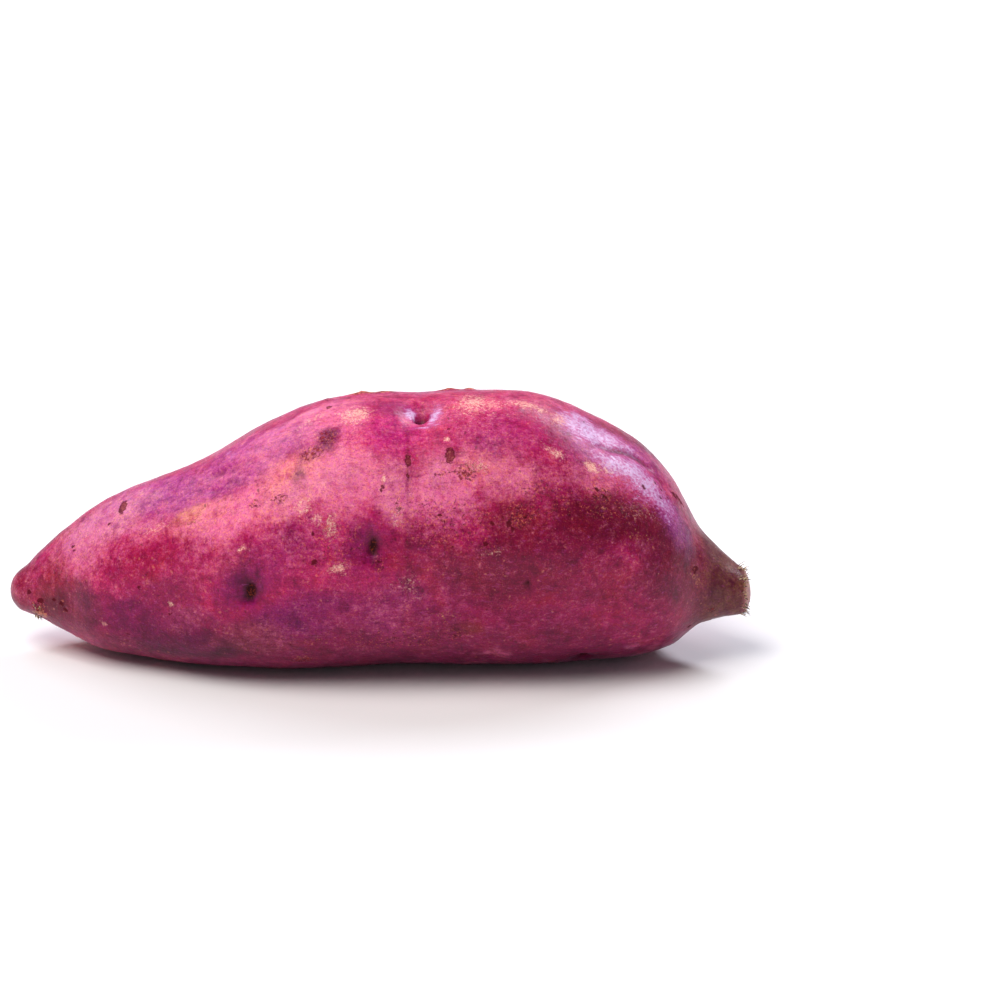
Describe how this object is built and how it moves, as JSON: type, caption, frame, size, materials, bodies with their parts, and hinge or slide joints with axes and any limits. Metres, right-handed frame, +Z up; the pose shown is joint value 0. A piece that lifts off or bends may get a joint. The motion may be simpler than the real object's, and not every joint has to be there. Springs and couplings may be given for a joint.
{
  "type": "sweet potato",
  "caption": "Whole raw sweet potato in purple-pink skin: a tapered root, fuller past its middle, with a thin root tip and a blunt stem end, lying on its belly.",
  "frame": {"origin": "middle of the bounding box in X and Y, on the table that the root lies on", "axes": "+X along the root from its thin tip to its stem end, +Z up, -Y towards the picture's camera"},
  "size_m": [0.186, 0.0672, 0.0692],
  "materials": {
    "skin": "satin"
  },
  "bodies": {
    "root": {"sweet_potato": "skin"}
  },
  "joints": []
}
